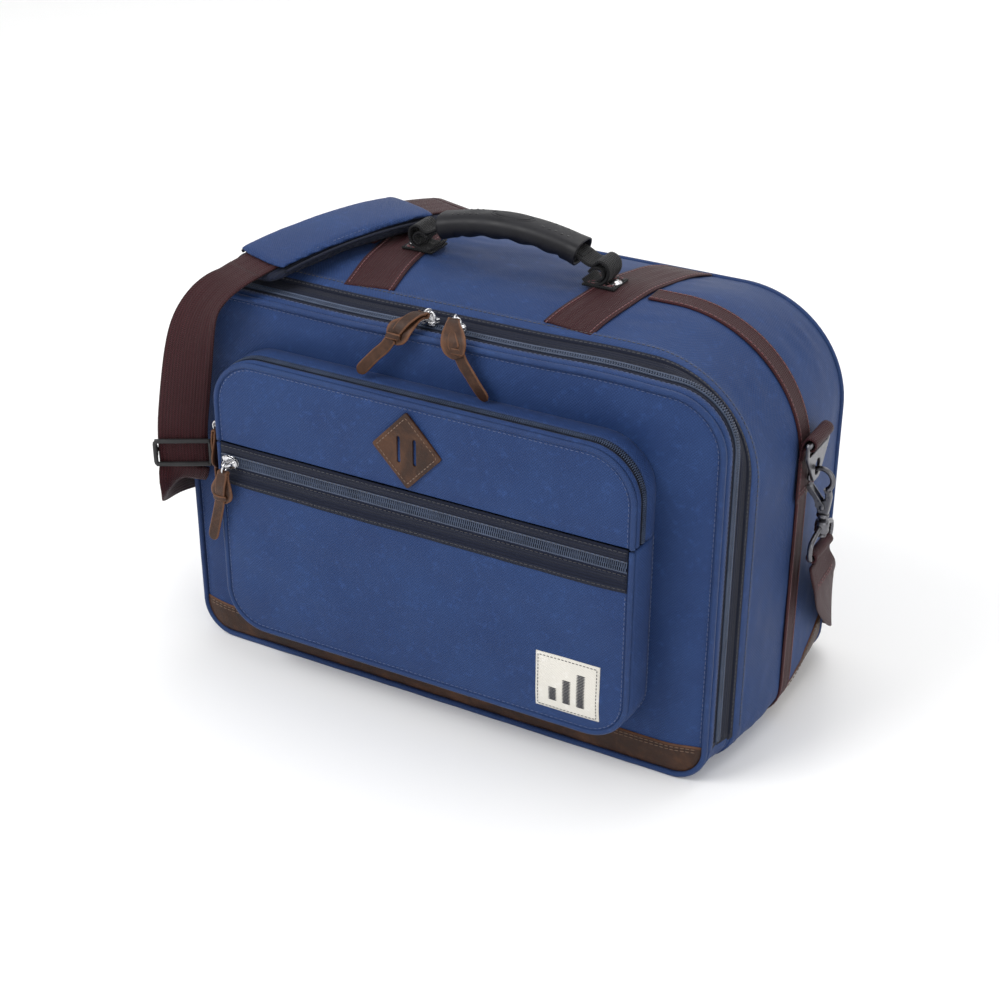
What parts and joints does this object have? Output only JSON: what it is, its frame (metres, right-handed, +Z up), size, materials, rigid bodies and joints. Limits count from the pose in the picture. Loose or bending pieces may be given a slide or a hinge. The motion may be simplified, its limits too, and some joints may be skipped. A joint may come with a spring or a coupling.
{
  "type": "flight bag",
  "caption": "Soft flight bag with a zipped front door, a flap pocket, an arched carry handle and a padded shoulder strap on snap hooks.",
  "frame": {"origin": "centre of the base on the supporting surface, under the girth band", "axes": "+Z up, -Y towards the front door, +X to the bag's right as seen from the front"},
  "size_m": [0.5164, 0.2756, 0.3575],
  "materials": {
    "blue_canvas": "woven nylon canvas with a soft coating",
    "navy_tape": "dark woven tape",
    "maroon_webbing": "ribbed woven webbing",
    "black_webbing": "ribbed woven webbing",
    "cream_label": "woven label",
    "brown_leather": "waxed leather, worn lighter at the edges",
    "black_rubber": "moulded satin rubber",
    "bright_metal": "polished die casting",
    "dark_metal": "gunmetal plating",
    "black_plastic": "moulded",
    "zip_coil_plastic": "nylon coil",
    "base_board_plastic": "stiffener sheet"
  },
  "bodies": {
    "case": {"base_panel": "blue_canvas", "base_board": "base_board_plastic", "front_corners": "blue_canvas", "gusset_left": "blue_canvas", "gusset_right": "blue_canvas", "gusset_top": "blue_canvas", "rear_panel": "blue_canvas", "rear_leather_trim": "brown_leather", "zip_binding": "navy_tape", "body_zip_tape": "navy_tape", "body_zip_coil": "zip_coil_plastic", "top_webbing": "maroon_webbing", "girth_webbing_left": "maroon_webbing", "girth_webbing_right": "maroon_webbing", "ring_tab_left": "maroon_webbing", "ring_tab_right": "maroon_webbing", "handle_anchors": "black_webbing", "anchor_rivets": "bright_metal", "strap_eyes": "dark_metal", "strap_over_top": "maroon_webbing", "strap_rear": "maroon_webbing", "strap_drop": "maroon_webbing", "strap_return": "maroon_webbing"},
    "door": {"door_panel": "blue_canvas", "door_gusset": "blue_canvas", "door_zip_tape": "navy_tape", "door_zip_coil": "zip_coil_plastic", "door_piping": "blue_canvas", "door_leather_trim": "brown_leather", "pocket_gusset_lower": "blue_canvas", "pocket_gusset_upper": "blue_canvas", "pocket_front": "blue_canvas", "pocket_piping_lower": "blue_canvas", "slash_zip_tape": "navy_tape", "slash_zip_coil": "zip_coil_plastic", "label_patch": "cream_label"},
    "pocket_flap": {"flap_panel": "blue_canvas", "flap_gusset": "blue_canvas", "flap_piping": "blue_canvas", "diamond_patch": "brown_leather"},
    "main_slider_left": {"main_slider_left": "bright_metal"},
    "main_slider_right": {"main_slider_right": "bright_metal"},
    "main_pull_left": {"main_pull_left": "brown_leather"},
    "main_pull_right": {"main_pull_right": "brown_leather"},
    "pocket_slider": {"pocket_slider": "bright_metal"},
    "pocket_pull": {"pocket_pull": "brown_leather"},
    "slash_slider": {"slash_slider": "bright_metal"},
    "slash_pull": {"slash_pull": "brown_leather"},
    "handle": {"handle_grip": "black_rubber", "handle_core": "black_webbing", "handle_loops": "black_webbing"},
    "ring_left": {"ring_left": "dark_metal"},
    "ring_right": {"ring_right": "dark_metal"},
    "snap_hook_left": {"snap_hook_left": "dark_metal"},
    "snap_hook_right": {"snap_hook_right": "dark_metal"},
    "gate_left": {"gate_left": "dark_metal"},
    "gate_right": {"gate_right": "dark_metal"},
    "tri_glide": {"tri_glide": "black_plastic"},
    "shoulder_pad": {"pad_base": "navy_tape", "pad_cover": "blue_canvas"}
  },
  "joints": [
    {"name": "door_hinge", "type": "hinge", "parent": "case", "child": "door", "pos_m": [0, -0.1125, 0.0025], "axis": [1, 0, 0], "range_deg": [0, 50], "deforming": ["strap_drop", "strap_return", "tri_glide"]},
    {"name": "flap_hinge", "type": "hinge", "parent": "door", "child": "pocket_flap", "pos_m": [0, -0.1446, 0.1965], "axis": [1, 0, 0], "range_deg": [0, 75]},
    {"name": "handle_hinge", "type": "hinge", "parent": "case", "child": "handle", "pos_m": [0, 0, 0.3205], "axis": [1, 0, 0], "range_deg": [-55, 55], "deforming": ["handle_loops"]},
    {"name": "main_slider_left_slide", "type": "slide", "parent": "door", "child": "main_slider_left", "axis": [1, 0, 0], "range_m": [-0.09, 0]},
    {"name": "main_slider_right_slide", "type": "slide", "parent": "door", "child": "main_slider_right", "axis": [1, 0, 0], "range_m": [0, 0.155]},
    {"name": "main_pull_left_hinge", "type": "hinge", "parent": "main_slider_left", "child": "main_pull_left", "pos_m": [-0.013, -0.097, 0.3134], "axis": [1, 0, 0], "range_deg": [-150, 0]},
    {"name": "main_pull_right_hinge", "type": "hinge", "parent": "main_slider_right", "child": "main_pull_right", "pos_m": [0.008, -0.097, 0.3134], "axis": [1, 0, 0], "range_deg": [-150, 0]},
    {"name": "slash_slider_slide", "type": "slide", "parent": "door", "child": "slash_slider", "axis": [1, 0, 0], "range_m": [0, 0.305]},
    {"name": "slash_pull_hinge", "type": "hinge", "parent": "slash_slider", "child": "slash_pull", "pos_m": [-0.158, -0.1541, 0.183], "axis": [1, 0, 0], "range_deg": [-120, 0]},
    {"name": "pocket_slider_slide", "type": "slide", "parent": "door", "child": "pocket_slider", "axis": [0, 0, 1], "range_m": [0, 0.018]},
    {"name": "pocket_pull_hinge", "type": "hinge", "parent": "pocket_slider", "child": "pocket_pull", "pos_m": [-0.1801, -0.132, 0.203], "axis": [0, 1, 0], "range_deg": [0, 8]},
    {"name": "ring_left_hinge", "type": "hinge", "parent": "case", "child": "ring_left", "pos_m": [-0.2432, 0.003, 0.236], "axis": [0, 1, 0], "range_deg": [0, 10]},
    {"name": "ring_right_hinge", "type": "hinge", "parent": "case", "child": "ring_right", "pos_m": [0.2432, 0.003, 0.236], "axis": [0, -1, 0], "range_deg": [0, 10]},
    {"name": "snap_hook_left_swivel", "type": "hinge", "parent": "case", "child": "snap_hook_left", "pos_m": [-0.2515, 0.003, 0.166], "axis": [0, 0, 1], "range_deg": [-10, 10]},
    {"name": "snap_hook_right_swivel", "type": "hinge", "parent": "case", "child": "snap_hook_right", "pos_m": [0.2515, 0.003, 0.166], "axis": [0, 0, 1], "range_deg": [-10, 10]},
    {"name": "gate_left_hinge", "type": "hinge", "parent": "snap_hook_left", "child": "gate_left", "pos_m": [-0.251, 0.003, 0.182], "axis": [0, -1, 0], "range_deg": [0, 20], "stiffness_Nm_per_rad": 0.02, "springref_deg": -9.74},
    {"name": "gate_right_hinge", "type": "hinge", "parent": "snap_hook_right", "child": "gate_right", "pos_m": [0.251, 0.003, 0.182], "axis": [0, 1, 0], "range_deg": [0, 20], "stiffness_Nm_per_rad": 0.02, "springref_deg": -9.74},
    {"name": "tri_glide_slide", "type": "slide", "parent": "case", "child": "tri_glide", "axis": [0, 0, 1], "range_m": [0, 0.02]},
    {"name": "shoulder_pad_slide", "type": "hinge", "parent": "case", "child": "shoulder_pad", "pos_m": [-0.13, 0, -0.1295], "axis": [-0.9397, 0.342, 0], "range_deg": [-0.8, 0.8]}
  ]
}
